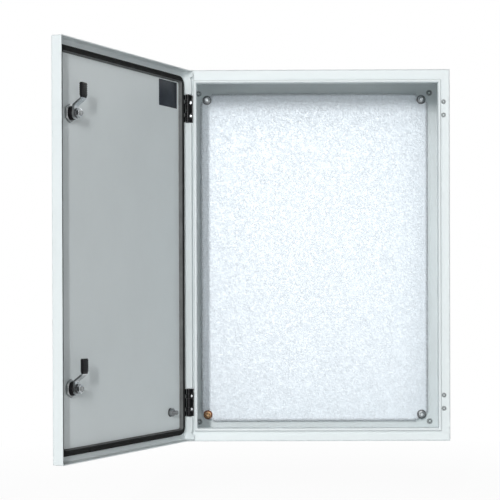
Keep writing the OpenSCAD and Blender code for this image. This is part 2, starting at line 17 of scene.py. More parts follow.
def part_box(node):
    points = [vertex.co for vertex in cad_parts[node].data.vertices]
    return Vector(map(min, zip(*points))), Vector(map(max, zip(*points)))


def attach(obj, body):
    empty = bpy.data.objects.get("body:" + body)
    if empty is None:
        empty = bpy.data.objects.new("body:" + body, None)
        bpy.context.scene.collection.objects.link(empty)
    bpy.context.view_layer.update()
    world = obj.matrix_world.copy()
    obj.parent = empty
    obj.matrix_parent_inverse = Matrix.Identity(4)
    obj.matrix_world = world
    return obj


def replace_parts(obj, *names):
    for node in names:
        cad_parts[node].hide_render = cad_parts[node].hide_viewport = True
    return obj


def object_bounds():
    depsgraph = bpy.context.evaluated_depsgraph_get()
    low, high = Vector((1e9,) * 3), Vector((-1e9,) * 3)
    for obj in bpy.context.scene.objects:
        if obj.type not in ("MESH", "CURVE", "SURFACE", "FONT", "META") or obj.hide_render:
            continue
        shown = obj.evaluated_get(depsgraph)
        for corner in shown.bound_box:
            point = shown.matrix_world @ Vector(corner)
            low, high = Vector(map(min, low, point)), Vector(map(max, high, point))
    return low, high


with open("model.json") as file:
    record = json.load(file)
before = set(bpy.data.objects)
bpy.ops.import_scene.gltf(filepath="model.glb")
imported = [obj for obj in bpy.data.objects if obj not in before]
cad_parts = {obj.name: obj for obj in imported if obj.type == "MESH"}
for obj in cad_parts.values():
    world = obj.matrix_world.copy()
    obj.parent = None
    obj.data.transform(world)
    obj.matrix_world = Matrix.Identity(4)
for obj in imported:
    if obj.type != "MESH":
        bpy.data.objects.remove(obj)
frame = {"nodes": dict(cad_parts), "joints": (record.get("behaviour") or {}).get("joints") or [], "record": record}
cad_bounds = [list(corner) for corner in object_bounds()]

bl_info = {
    "name": "Steel wall enclosure",
    "version": (1, 0, 0),
    "blender": (4, 5, 0),
    "location": "View3D > Sidebar > Enclosure",
    "description": "Finishes and fine pieces of a steel wall enclosure",
    "category": "Object",
}

MM = 0.001
INTO_WALL = Vector((0, 1, 0))
OUT_OF_WALL = Vector((0, -1, 0))
DOWN = Vector((0, 0, -1))
ON_BODY = Matrix.Identity(4)
SIDES = ("upper", "lower")

M4, M5, M8 = 4 * MM, 5 * MM, 8 * MM
M4_PITCH, M5_PITCH = 0.7 * MM, 0.8 * MM
STUD_CHAMFER = 0.9 * MM
GLAND_SCREW_HEAD = 3 * MM
HINGE_SCREW_HEAD = 2.6 * MM
HINGE_SCREW_TURN = 0.5
EARTH_REACH = 50 * MM
PLUG_HEAD = 1.2 * MM
WALL_PLUG_HEAD = 1.6 * MM
WALL_PLUG_PLAY = 0.1 * MM
WALL_PLUG_RIM = 1.4 * MM
GASKET_WIDTH = 12 * MM
GASKET_CORNER = 16 * MM
LABEL_THICKNESS = 0.25 * MM
BARREL = 22 * MM
CAM_SHEET = 3 * MM

DUST = (0.62, 0.6, 0.56, 1.0)
FOAM_DUST = (0.3, 0.3, 0.29, 1.0)
# Painted shade: the dark band along the mounting plate's edges, standing in for the shadow gap behind the plate.
PAINTED_EDGE_SHADE = (0.09, 0.095, 0.10, 1.0)
BARE_METAL = (0.28, 0.28, 0.29, 1.0)
DARK_STEEL = (0.09, 0.09, 0.095)
WHITE = (1.0, 1.0, 1.0, 1.0)
AMBIENT_TINT = (0.97, 0.99, 1.0, 1.0)
FLOOR_GREY = (0.9, 0.9, 0.9, 1.0)


# ---------- the frame


def open_door():
    """From the shut door's frame to where the door stands at rest."""
    swing = next(joint for joint in frame["joints"] if joint["name"] == "door_swing")
    to_pin = Matrix.Translation(swing["pos_m"])
    turn = Matrix.Rotation(-math.radians(swing["range_deg"][1]), 4, "Z")
    return to_pin @ turn @ to_pin.inverted()


ON_DOOR = open_door()
BODIES = frame["record"]["behaviour"]["bodies"]
BODY_OF = {node: body for body, nodes in BODIES.items() for node in nodes}
SLOT_OF = {part["node"]: part["material_slot"] for part in frame["record"]["subparts"]}


def place_of(node):
    """The frame that a node's pieces are made in: the case's, or the shut door's."""
    return ON_BODY if BODY_OF[node] == "enclosure" else ON_DOOR


def solids(node):
    """Lowest and highest corner of each separate solid of a node, in place_of the node."""
    mesh = bmesh.new()
    mesh.from_mesh(frame["nodes"][node].data)
    mesh.transform(place_of(node).inverted())
    bmesh.ops.remove_doubles(mesh, verts=mesh.verts, dist=0.001 * MM)
    left = set(mesh.verts)
    boxes = []
    while left:
        found = {left.pop()}
        edge = list(found)
        while edge:
            near = {e.other_vert(v) for v in edge for e in v.link_edges} & left
            left -= near
            found |= near
            edge = list(near)
        low = Vector([min(v.co[axis] for v in found) for axis in range(3)])
        high = Vector([max(v.co[axis] for v in found) for axis in range(3)])
        boxes.append((low, high))
    mesh.free()
    return sorted(boxes, key=lambda box: tuple(round(value, 5) for value in box[0]))


def stand(point, direction):
    """A frame whose Z axis stands on point and runs along direction."""
    return Matrix.Translation(point) @ direction.to_track_quat("Z", "X").to_matrix().to_4x4()


def seat(box, direction):
    """The frame that stands on the near face of a box, and how far the box reaches from there."""
    low, high = box
    height = abs(direction.dot(high - low))
    return stand((low + high - direction * height) / 2, direction), height


def span(box):
    """Diameter, or width over the flats, of a fitting that lies along Y."""
    return box[1].z - box[0].z


def across(box, direction):
    """The widest that a box is at right angles to a direction."""
    size = box[1] - box[0]
    return max(size - direction * direction.dot(size))


# ---------- mesh making


def add_rings(mesh, rings, place, loop=False, slot=0):
    """Skins a stack of rings that have the same number of points. A loop closes on its first."""
    rows = [[mesh.verts.new(place @ Vector(point)) for point in ring] for ring in rings]
    count = len(rows[0])
    pairs = list(zip(rows, rows[1:] + rows[:1])) if loop else list(zip(rows, rows[1:]))
    faces = [
        mesh.faces.new((a[k], a[(k + 1) % count], b[(k + 1) % count], b[k]))
        for a, b in pairs
        for k in range(count)
    ]
    if not loop:
        faces += [mesh.faces.new(rows[0][::-1]), mesh.faces.new(rows[-1])]
    for face in faces:
        face.material_index = slot


def polar_ring(radius_at, height, count):
    """One ring of points; radius_at gives the radius at an angle."""
    angles = [math.tau * k / count for k in range(count)]
    return [(radius_at(a) * math.cos(a), radius_at(a) * math.sin(a), height) for a in angles]


def turned_rings(profile, count=48):
    """Rings of a turned shape from its profile of radius and height."""
    return [polar_ring(lambda a, r=radius: r, height, count) for radius, height in profile]


def polygon_radius(angle, sides, apothem):
    """Distance from the middle to the edge of a regular polygon with a corner at angle 0."""
    step = math.tau / sides
    return apothem / math.cos(angle % step - step / 2)


def nut_rings(flats, height, bore):
    """A hexagon nut with chamfered faces and a countersunk bore, as a closed loop of rings."""
    count = 72
    apothem = flats / 2
    face = 0.94 * apothem
    corner = apothem / math.cos(math.pi / 6)
    slope = math.tan(math.pi / 6)
    chamfer = (0, 0.3, 0.65, 1)
    depths = [0.0] + [slope * (apothem - face + part * (corner - apothem)) for part in chamfer]

    def outside(depth, level):
        def radius_at(angle):
            return min(polygon_radius(angle, 6, apothem), face + depth / slope)

        return polar_ring(radius_at, level, count)

    inner, sink = bore / 2, 0.07 * bore
    inside = [(inner + sink, height), (inner, height - sink), (inner, sink), (inner + sink, 0)]
    rings = [outside(depth, depth) for depth in depths]
    rings += [outside(depth, height - depth) for depth in reversed(depths)]
    return rings + turned_rings(inside, count)


def washer_rings(outer, height, bore):
    """A flat ring with rounded edges, as a closed loop of rings."""
    rim, inner = outer / 2, bore / 2
    soft = min(0.25 * height, 0.3 * MM)
    profile = [
        (rim - soft, 0), (rim, soft), (rim, height - soft), (rim - soft, height),
        (inner + soft / 2, height), (inner, height - soft / 2), (inner, soft / 2),
        (inner + soft / 2, 0),
    ]
    return turned_rings(profile, 64)


def thread_rings(diameter, pitch, start, end, tip=0.0, count=40, per_turn=8):
    """A screw thread as rings; the crest follows a helix, and tip chamfers the far end."""
    depth = 0.61 * pitch
    flank = 1.25
    steps = max(2, round((end - start) / pitch * per_turn))

    def radius(angle, level):
        phase = (level / pitch - angle / math.tau) % 1
        crest = 0.5 * diameter - depth * max(0.0, 1 - abs(2 * phase - 1) * flank)
        return min(crest, 0.5 * diameter - max(0.0, tip - (end - level)))

    levels = [start + (end - start) * k / steps for k in range(steps + 1)]
    return [polar_ring(lambda a, z=level: radius(a, z), level, count) for level in levels]


def dome_rings(diameter, height):
    """A screw head: an upright edge, a rounded shoulder and a low crown."""
    rim, soft, crown, steps = diameter / 2, 0.15 * MM, 0.35, 6
    edge = height * (1 - crown)
    shoulder = 0.55 * edge
    profile = [(rim - soft, 0), (rim, soft), (rim, shoulder)]
    for k in range(1, steps + 1):
        turn = math.pi / 2 * k / (steps + 1)
        level = shoulder + (height - shoulder) * math.sin(turn)
        profile.append((rim * math.cos(turn) ** 0.6, level))
    profile.append((diameter * 0.04, height))
    return turned_rings(profile)


def add_box(mesh, low, high, place, soft=0.0):
    """A box between two corners; soft rounds its edges."""
    size = Vector(high) - Vector(low)
    middle = (Vector(high) + Vector(low)) / 2
    matrix = place @ Matrix.Translation(middle) @ Matrix.Diagonal((*size, 1))
    made = bmesh.ops.create_cube(mesh, size=1, matrix=matrix)
    if soft:
        edges = list({edge for vert in made["verts"] for edge in vert.link_edges})
        bmesh.ops.bevel(mesh, geom=edges, offset=soft, segments=3, affect="EDGES", profile=0.5)


def finish_mesh(mesh, name, sharp=35.0):
    """Turns a bmesh into smooth-shaded mesh data with creases at sharp edges."""
    bmesh.ops.recalc_face_normals(mesh, faces=mesh.faces)
    for face in mesh.faces:
        face.smooth = True
    for edge in mesh.edges:
        flat = len(edge.link_faces) == 2 and edge.calc_face_angle(0) < math.radians(sharp)
        edge.smooth = flat
    data = bpy.data.meshes.new(name)
    mesh.to_mesh(data)
    mesh.free()
    return data


def new_object(name, data):
    """An object in the scene."""
    made = bpy.data.objects.new(name, data)
    bpy.context.scene.collection.objects.link(made)
    return made


def carve(data, tool_mesh):
    """Cuts a tool out of mesh data and gives back the new data."""
    body = new_object("carved", data)
    tool = new_object("tool", finish_mesh(tool_mesh, "tool"))
    cutter = body.modifiers.new("cut", "BOOLEAN")
    cutter.operation = "DIFFERENCE"
    cutter.solver = "EXACT"
    cutter.object = tool
    graph = bpy.context.evaluated_depsgraph_get()
    result = bpy.data.meshes.new_from_object(body.evaluated_get(graph))
    result.name = data.name
    for item in (body, tool):
        bpy.data.objects.remove(item)
    if len(result.polygons) == 0:
        raise RuntimeError(f"nothing is left of {data.name} after the cut")
    return result


def add_piece(name, shape, body, slot, *finishes):
    """Makes a piece that rides on a body, from a bmesh or from finished mesh data."""
    data = finish_mesh(shape, name) if isinstance(shape, bmesh.types.BMesh) else shape
    piece = new_object(name, data)
    for finish in finishes:
        data.materials.append(finish_named(finish))
    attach(piece, body)
    return piece


def stand_in(name, shape, node, *finishes):
    """A piece in the place of a CAD node, on that node's body."""
    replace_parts(add_piece(name, shape, BODY_OF[node], SLOT_OF[node], *finishes), node)


def dress(finish, *nodes):
    """Gives CAD nodes a finish."""
    for node in nodes:
        data = frame["nodes"][node].data
        data.materials.clear()
        data.materials.append(finish_named(finish))


# ---------- node trees


class Tree:
    """Makes, sets and links the nodes of one tree."""

    def __init__(self, tree):
        self.tree = tree

    def put(self, value, socket):
        """Gives a socket a value, or links another socket to it."""
        if isinstance(value, bpy.types.NodeSocket):
            self.tree.links.new(value, socket)
        else:
            socket.default_value = value

    def add(self, kind, inputs=None, **settings):
        """Adds a node; an input is a value, or a socket to link."""
        made = self.tree.nodes.new(kind)
        for name, value in settings.items():
            setattr(made, name, value)
        for name, value in (inputs or {}).items():
            self.put(value, made.inputs[name])
        return made

    def math(self, operation, a, b):
        """One sum on two numbers."""
        return self.add("ShaderNodeMath", {0: a, 1: b}, operation=operation).outputs[0]

    def plus(self, a, b):
        """The two added."""
        return self.math("ADD", a, b)

    def times(self, a, b):
        """The two multiplied."""
        return self.math("MULTIPLY", a, b)

    def spread(self, value, low, high, to_low=0.0, to_high=1.0):
        """Maps low..high to to_low..to_high and clamps it there."""
        limits = {"From Min": low, "From Max": high, "To Min": to_low, "To Max": to_high}
        return self.add("ShaderNodeMapRange", {"Value": value} | limits).outputs["Result"]

    def blend(self, factor, first, second):
        """A colour between two others."""
        inputs = {0: factor, 6: first, 7: second}
        return self.add("ShaderNodeMix", inputs, data_type="RGBA").outputs[2]

    def vector_math(self, operation, *vectors):
        """One sum on vectors; gives back the node's outputs."""
        inputs = dict(enumerate(vectors))
        return self.add("ShaderNodeVectorMath", inputs, operation=operation).outputs

    def noise(self, vector, scale, detail=2.0, roughness=0.5):
        """Plain noise from 0 to 1."""
        inputs = {"Vector": vector, "Scale": scale, "Detail": detail, "Roughness": roughness}
        return self.add("ShaderNodeTexNoise", inputs).outputs["Fac"]


def effect(name, inputs, fill):
    """A shader node group, made once. fill gets its tree and inputs and gives its outputs."""
    group = bpy.data.node_groups.get(name)
    if group:
        return group
    group = bpy.data.node_groups.new(name, "ShaderNodeTree")
    sockets = group.interface
    sockets.new_socket("Vector", in_out="INPUT", socket_type="NodeSocketVector")
    for label, value in inputs.items():
        kind = "NodeSocketVector" if isinstance(value, tuple) else "NodeSocketFloat"
        socket = sockets.new_socket(label, in_out="INPUT", socket_type=kind)
        socket.default_value = value
    tree = Tree(group)
    made = fill(tree, tree.add("NodeGroupInput").outputs)
    for label in made:
        sockets.new_socket(label, in_out="OUTPUT", socket_type="NodeSocketFloat")
    tree.add("NodeGroupOutput", made)
    return group


def powder_grain():
    """The orange-peel skin of powder coat, with faint clouds of tone."""

    def fill(tree, given):
        fine = tree.noise(given["Vector"], given["Grain"], 3.0, 0.55)
        peel = tree.noise(given["Vector"], tree.times(given["Grain"], 0.32), 1.0)
        clouds = tree.noise(given["Vector"], given["Clouds"], 4.0, 0.6)
        return {
            "Height": tree.plus(tree.times(fine, 0.35), tree.times(peel, 0.65)),
            "Tone": tree.spread(clouds, 0.3, 0.7),
            "Speck": tree.spread(fine, 0.35, 0.65),
        }

    return effect("Powder grain", {"Grain": 900.0, "Clouds": 9.0}, fill)


def spangle():
    """Zinc crystals: flat cells with their own tone and tilt, and a finer mottle over them."""

    def fill(tree, given):
        vector, size = given["Vector"], given["Size"]
        warp = tree.add("ShaderNodeTexNoise", {"Vector": vector, "Scale": tree.times(size, 1.7)})
        reach = (0.004, 0.004, 0.004)
        bent = tree.vector_math("MULTIPLY_ADD", warp.outputs["Color"], reach, vector)["Vector"]

        def crystals(scale):
            cells = tree.add("ShaderNodeTexVoronoi", {"Vector": bent, "Scale": scale}).outputs
            tones = tree.add("ShaderNodeSeparateColor", {"Color": cells["Color"]}).outputs
            return cells, tones

        cells, tones = crystals(size)
        small_tones = crystals(tree.times(size, 2.6))[1]
        mottle = tree.noise(vector, tree.times(size, 4.0), 3.0, 0.6)
        small = tree.plus(tree.times(small_tones["Red"], 0.35), tree.times(mottle, 0.4))
        tilt = tree.times(cells["Distance"], tree.math("SUBTRACT", tones["Green"], 0.5))
        return {
            "Tone": tree.plus(tree.times(tones["Red"], 0.25), small),
            "Gloss": tones["Blue"],
            "Height": tree.plus(tilt, tree.times(mottle, 0.15)),
        }

    return effect("Zinc spangle", {"Size": 160.0}, fill)


def edge_wear_and_shade():
    """A mask of the edges: whole, or in the patches that handling rubs. The patches serve as wear; the whole mask
    serves as painted shade on the mounting plate.
    """

    def fill(tree, given):
        bevel = tree.add("ShaderNodeBevel", {"Radius": given["Radius"]}, samples=4)
        facing = tree.add("ShaderNodeNewGeometry").outputs["Normal"]
        same = tree.vector_math("DOT_PRODUCT", bevel.outputs["Normal"], facing)["Value"]
        noise = tree.noise(given["Vector"], given["Break"], 4.0, 0.65)
        kept = tree.math("MAXIMUM", tree.spread(noise, 0.42, 0.6), given["Whole"])
        return {"Mask": tree.times(tree.spread(same, 0.999, 0.9), kept)}

    return effect("Edge wear and shade", {"Radius": 0.0005, "Break": 350.0, "Whole": 0.0}, fill)


def drawn_grain():
    """Fine parallel lines with a slow drift of tone, as on rolled or turned metal."""

    def fill(tree, given):
        stretched = tree.vector_math("MULTIPLY", given["Vector"], given["Stretch"])["Vector"]
        lines = tree.noise(stretched, given["Lines"], 4.0, 0.7)
        drift = tree.noise(given["Vector"], tree.times(given["Lines"], 0.12), 2.0)
        tone = tree.plus(tree.times(lines, 0.6), tree.times(drift, 0.4))
        return {"Tone": tree.spread(tone, 0.3, 0.7), "Height": lines}

    return effect("Drawn grain", {"Stretch": (1.0, 1.0, 0.06), "Lines": 1800.0}, fill)


def settled_dust():
    """Dust on what faces up, in soft patches."""

    def fill(tree, given):
        normal = tree.add("ShaderNodeNewGeometry").outputs["Normal"]
        up = tree.add("ShaderNodeSeparateXYZ", {"Vector": normal}).outputs["Z"]
        patches = tree.noise(given["Vector"], given["Patches"], 5.0, 0.6)
        return {"Mask": tree.times(tree.spread(up, 0.3, 1.0), tree.spread(patches, 0.35, 0.75))}

    return effect("Settled dust", {"Patches": 40.0}, fill)


def finish_title(name):
    """The name that a finish has in the file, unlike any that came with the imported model."""
    return f"{name} finish"


class Surface(Tree):
    """A material: its tree, its object coordinates, and its shader with what is constant."""

    def __init__(self, name, constants=None):
        self.material = bpy.data.materials.new(finish_title(name))
        self.material.use_nodes = True
        super().__init__(self.material.node_tree)
        self.tree.nodes.clear()
        self.shader = self.add("ShaderNodeBsdfPrincipled", constants)
        self.output = self.add("ShaderNodeOutputMaterial", {"Surface": self.shader.outputs["BSDF"]})
        self.place = self.add("ShaderNodeTexCoord").outputs["Object"]

    def effect(self, group, **values):
        """Places an effect with its own values and gives back its outputs."""
        inputs = {"Vector": self.place} | values
        return self.add("ShaderNodeGroup", inputs, node_tree=group).outputs

    def finished(self, colour, roughness, height, strength, distance):
        """Links what varies over the surface, with a bump from height; gives the material."""
        bump = {"Height": height, "Strength": strength, "Distance": distance}
        normal = self.add("ShaderNodeBump", bump).outputs["Normal"]
        varying = {"Base Color": colour, "Roughness": roughness, "Normal": normal}
        for name, value in varying.items():
            self.put(value, self.shader.inputs[name])
        return self.material


def shade(colour, factor):
    """A colour made lighter or darker, with its alpha."""
    return (*[min(1.0, channel * factor) for channel in colour[:3]], 1.0)


# ---------- finishes


def powder_coat(name, coat, roughness, density):
    """Light grey powder coat with a fine texture."""
    surface = Surface(name)
    grain = surface.effect(powder_grain(), Grain=density, Clouds=7.0)
    dust = surface.effect(settled_dust(), Patches=30.0)["Mask"]
    colour = surface.blend(grain["Tone"], shade(coat, 0.975), shade(coat, 1.02))
    colour = surface.blend(surface.times(grain["Speck"], 0.12), colour, shade(coat, 0.88))
    colour = surface.blend(surface.times(dust, 0.25), colour, DUST)
    rough = surface.spread(grain["Tone"], 0.0, 1.0, roughness - 0.05, roughness + 0.06)
    return surface.finished(colour, rough, grain["Height"], 0.25, 0.0002)


def galvanised(name, zinc, size):
    """Zinc-coated sheet with small crystals, and painted shade darkening its edges for the shadow gap behind the
    plate.
    """
    surface = Surface(name, {"Metallic": 0.35})
    crystals = surface.effect(spangle(), Size=1 / size)
    # Painted shade: the whole edge mask darkens the plate's edges for the shadow gap between plate and back panel.
    edge_shade = surface.effect(edge_wear_and_shade(), Radius=0.008, Break=60.0, Whole=1.0)["Mask"]
    tone = surface.spread(crystals["Tone"], 0.2, 0.8)
    colour = surface.blend(tone, shade(zinc, 0.88), shade(zinc, 1.1))
    colour = surface.blend(edge_shade, colour, PAINTED_EDGE_SHADE)
    rough = surface.spread(crystals["Gloss"], 0.0, 1.0, 0.5, 0.64)
    return surface.finished(colour, rough, crystals["Height"], 0.35, 0.0006)


def plated_metal(name, base, roughness, lines=1400.0, stretch=(1.0, 1.0, 0.2)):
    """Plated or bare metal with a drawn grain and brighter, rubbed edges."""
    surface = Surface(name, {"Metallic": 1.0})
    grain = surface.effect(drawn_grain(), Lines=lines, Stretch=stretch)
    edges = surface.effect(edge_wear_and_shade(), Radius=0.0004, Break=500.0)["Mask"]
    colour = surface.blend(grain["Tone"], shade(base, 0.8), shade(base, 1.08))
    colour = surface.blend(surface.times(edges, 0.6), colour, shade(base, 1.3))
    rough = surface.spread(grain["Tone"], 0.0, 1.0, roughness - 0.06, roughness + 0.08)
    return surface.finished(colour, rough, grain["Height"], 0.2, 0.0001)


def black_coat(name, black):
    """Black coating on die-cast hinges, rubbed to metal on a few edges."""
    surface = Surface(name, {"Specular IOR Level": 0.15})
    grain = surface.effect(powder_grain(), Grain=1500.0, Clouds=60.0)
    edges = surface.effect(edge_wear_and_shade(), Radius=0.0005, Break=260.0)["Mask"]
    colour = surface.blend(grain["Tone"], shade(black, 0.7), shade(black, 1.25))
    colour = surface.blend(surface.times(edges, 0.35), colour, BARE_METAL)
    rough = surface.spread(grain["Speck"], 0.0, 1.0, 0.3, 0.45)
    return surface.finished(colour, rough, grain["Height"], 0.3, 0.00012)


def moulded_plastic(name, base, roughness):
    """Glass-filled plastic with a dry, speckled skin."""
    surface = Surface(name, {"Specular IOR Level": 0.12})
    grain = surface.effect(powder_grain(), Grain=2200.0, Clouds=120.0)
    edges = surface.effect(edge_wear_and_shade(), Radius=0.0004, Break=300.0)["Mask"]
    colour = surface.blend(grain["Speck"], shade(base, 0.8), shade(base, 1.2))
    colour = surface.blend(surface.times(edges, 0.3), colour, shade(base, 1.8))
    rough = surface.spread(grain["Tone"], 0.0, 1.0, roughness - 0.05, roughness + 0.08)
    return surface.finished(colour, rough, grain["Height"], 0.3, 0.00008)


def foam(name, base):
    """Closed-cell foam: a dull skin with pits and a paler bloom."""
    surface = Surface(name, {"Specular IOR Level": 0.1})
    cells = surface.add("ShaderNodeTexVoronoi", {"Vector": surface.place, "Scale": 1100.0})
    pits = cells.outputs["Distance"]
    grain = surface.effect(powder_grain(), Grain=1200.0, Clouds=45.0)
    dust = surface.effect(settled_dust(), Patches=80.0)["Mask"]
    colour = surface.blend(grain["Tone"], shade(base, 0.85), shade(base, 1.2))
    colour = surface.blend(surface.times(dust, 0.05), colour, FOAM_DUST)
    rough = surface.spread(pits, 0.0, 0.6, 0.7, 0.9)
    return surface.finished(colour, rough, pits, 0.35, 0.0002)


def satin_film(name, film):
    """Dark satin film, a little scuffed."""
    surface = Surface(name, {"Specular IOR Level": 0.2})
    grain = surface.effect(powder_grain(), Grain=500.0, Clouds=55.0)
    colour = surface.blend(grain["Tone"], shade(film, 0.85), shade(film, 1.2))
    rough = surface.spread(grain["Speck"], 0.0, 1.0, 0.3, 0.42)
    return surface.finished(colour, rough, grain["Height"], 0.08, 0.0001)


def finish_named(name):
    """The finish of that name, made the first time that it is asked for."""
    found = bpy.data.materials.get(finish_title(name))
    if found:
        return found
    user = bpy.context.scene.enclosure_finish
    coat, zinc, black = user.coat_colour, user.zinc_colour, user.black_colour
    maker, *values = {
        "powder_coat": (powder_coat, coat, user.coat_roughness, user.coat_grain),
        "galvanised_sheet": (galvanised, user.zinc_sheet_colour, user.spangle_size),
        "zinc_plate": (plated_metal, zinc, 0.36),
        # Painted shade: zinc darkened for washers, standing in for the shadow ring round each nut.
        "dull_zinc": (plated_metal, shade(zinc, 0.4), 0.3),
        # Painted highlight: zinc brightened for stud ends and cam nuts.
        "bright_zinc": (plated_metal, shade(zinc, 2.0), 0.22),
        "die_cast": (plated_metal, user.die_cast_colour, 0.34, 900.0, (1.0, 1.0, 0.6)),
        "pressed_steel": (plated_metal, shade(zinc, 2.1), 0.28, 700.0, (1.0, 1.0, 0.3)),
        "dark_steel": (plated_metal, DARK_STEEL, 0.36),
        "copper": (plated_metal, user.copper_colour, 0.3),
        "brass": (plated_metal, user.brass_colour, 0.32),
        "black_coat": (black_coat, black),
        "black_plastic": (moulded_plastic, black, 0.42),
        "plug_plastic": (moulded_plastic, shade(coat, 0.8), 0.4),
        # Painted shade: the plug colour darkened for the shadow at the head's edge and in its groove.
        "plug_rim": (moulded_plastic, shade(coat, 0.25), 0.5),
        "foam_rubber": (foam, user.foam_colour),
        # Painted light: the gasket's inner side is the same foam painted paler where it catches the light.
        "foam_skin": (foam, user.foam_painted_light_colour),
        "label_film": (satin_film, user.label_colour),
    }[name]
    return maker(name, *values)


# ---------- settings


def colour_setting(name, description, default):
    """A colour that a user may change."""
    return FloatVectorProperty(
        name=name, description=description, subtype="COLOR", size=3, min=0, max=1, default=default,
    )


def length_setting(name, description, low, high, default):
    """A length that a user may change."""
    return FloatProperty(
        name=name, description=description, unit="LENGTH", min=low, max=high, precision=5,
        default=default,
    )


def level_setting(name, description, default):
    """The share of its own colour that a surface shows in one light."""
    return FloatProperty(name=name, description=description, min=0, max=2, default=default)


def angle_setting(name, description, degrees):
    """An angle that a user may change."""
    turn = math.radians(degrees)
    return FloatProperty(name=name, description=description, subtype="ANGLE", default=turn)


class EnclosureFinish(bpy.types.PropertyGroup):
    """Colours and textures of the enclosure."""

    coat_colour: colour_setting("Coat colour", "Colour of the powder coat", (0.728, 0.785, 0.795))
    coat_roughness: FloatProperty(
        name="Coat roughness", description="Roughness of the powder coat",
        min=0.1, max=0.9, default=0.5,
    )
    coat_grain: FloatProperty(
        name="Coat grain", description="Grains of the coat's texture in a metre",
        min=200, max=3000, default=900,
    )
    zinc_sheet_colour: colour_setting(
        "Galvanised colour", "Colour of the mounting plate", (0.64, 0.685, 0.725))
    spangle_size: length_setting("Spangle size", "Width of a zinc crystal", 0.001, 0.03, 0.0032)
    zinc_colour: colour_setting(
        "Zinc colour", "Colour of plated fasteners and cams", (0.27, 0.282, 0.29))
    die_cast_colour: colour_setting(
        "Die-cast colour", "Colour of the lock nuts and rotors", (0.34, 0.355, 0.36))
    copper_colour: colour_setting(
        "Copper colour", "Colour of the earth washer", (0.12, 0.055, 0.035))
    brass_colour: colour_setting(
        "Brass colour", "Colour of the earth nut and its stud", (0.32, 0.20, 0.11))
    black_colour: colour_setting(
        "Black", "Colour of the hinges, lock housings and sleeves", (0.007, 0.007, 0.008))
    foam_colour: colour_setting("Foam colour", "Colour of the gaskets", (0.016, 0.017, 0.017))
    # Painted light: the door gasket's inner side is painted paler than the rest of the foam, where it catches the
    # light.
    foam_painted_light_colour: colour_setting(
        "Foam skin", "Colour of the door gasket's paler inner side", (0.12, 0.125, 0.125))
    label_colour: colour_setting(
        "Label colour", "Colour of the bare label on the door", (0.018, 0.023, 0.033))


class EnclosureFittings(bpy.types.PropertyGroup):
    """Sizes of the fine pieces."""

    small_pitch: length_setting(
        "Stud pitch", "Pitch of the M8 threads of studs and rotors", 0.0005, 0.002, 0.00125)
    lock_pitch: length_setting(
        "Lock pitch", "Pitch of the lock housing's thread", 0.0008, 0.003, 0.0015)
    foam_groove: length_setting(
        "Gasket groove", "Depth of the mark that the rim leaves in the gasket", 0.0, 0.003, 0.0012)
    label_width: length_setting("Label width", "Width of the bare label", 0.02, 0.15, 0.074)
    label_height: length_setting("Label height", "Height of the bare label", 0.02, 0.1, 0.048)
    label_gap: length_setting(
        "Label gap", "Gap from the label to the gasket at the hinge side", 0.001, 0.05, 0.0075)
    label_drop: length_setting(
        "Label drop", "Gap from the label to the gasket above it", 0.001, 0.05, 0.002)


class EnclosureStage(bpy.types.PropertyGroup):
    """Camera, lights and floor."""

    camera_place: FloatVectorProperty(
        name="Camera", description="Where the camera stands", subtype="XYZ", unit="LENGTH",
        size=3, default=(-0.1071, -3.2858, -0.0643),
    )
    camera_yaw: angle_setting("Yaw", "Turn to the left", 0.41)
    camera_pitch: angle_setting("Pitch", "Turn upwards", -0.523)
    camera_roll: angle_setting("Roll", "Turn about the view", 0.175)
    camera_lens: FloatProperty(
        name="Lens", description="Focal length in millimetres", min=20, max=300, default=118.36,
    )
    camera_shift: FloatVectorProperty(
        name="Shift", description="Lens shift to the right and up", size=2,
        default=(0.0023, 0.1098),
    )
    ambient: level_setting("Ambient", "Light from all sides", 0.06)
    key: level_setting("Key", "Narrow light above the camera", 0.33)
    high_key: level_setting("High key", "Narrow light over the key", 0.145)
    left: level_setting("Left", "Broad light from the upper left", 0.10)
    front: level_setting("Front", "Broad light from the front", 0.235)
    rear_left: level_setting("Rear left", "Light on the back and the door", 0.38)
    rear_right: level_setting("Rear right", "Light on the back from the right", 0.28)
    floor_drop: length_setting(
        "Floor drop", "Gap between the enclosure and the floor", 0, 1, 0.15)


# ---------- pieces


def fasteners(node, direction, bore, finish):
    """Nuts or washers with chamfers and rounded edges in the place of a node's plain ones."""
    plain, shaped, rings = "washer", "flat_washer", washer_rings
    if "nut" in node:
        plain, shaped, rings = "nut", "hex_nut", nut_rings
    mesh = bmesh.new()
    for box in solids(node):
        spot, height = seat(box, direction)
        add_rings(mesh, rings(span(box), height, bore), place_of(node) @ spot, loop=True)
    stand_in(node.replace(plain, shaped), mesh, node, finish)


def studs(name, node, direction, pitch, *finishes, second=()):
    """Threaded rods with chamfered ends. The solids listed in second get the second finish."""
    mesh = bmesh.new()
    for number, box in enumerate(solids(node)):
        spot, height = seat(box, direction)
        rings = thread_rings(span(box), pitch, 0, height, tip=STUD_CHAMFER)
        add_rings(mesh, rings, place_of(node) @ spot, slot=int(number in second))
    stand_in(name, mesh, node, *finishes)


def add_cross(mesh, spot, width, depth, top):
    """The shape of a cross-head driver, standing in a screw head whose crown is at top."""
    reach, narrow = width / 2, width / 9
    corners = ((-1, -1), (1, -1), (1, 1), (-1, 1))
    for turn in (0, math.pi / 2):
        rings = [
            [(x * reach * part, y * narrow * part, level) for x, y in corners]
            for part, level in ((0.45, top - depth), (1.0, top + 0.3 * MM))
        ]
        add_rings(mesh, rings, spot @ Matrix.Rotation(turn, 4, "Z"))


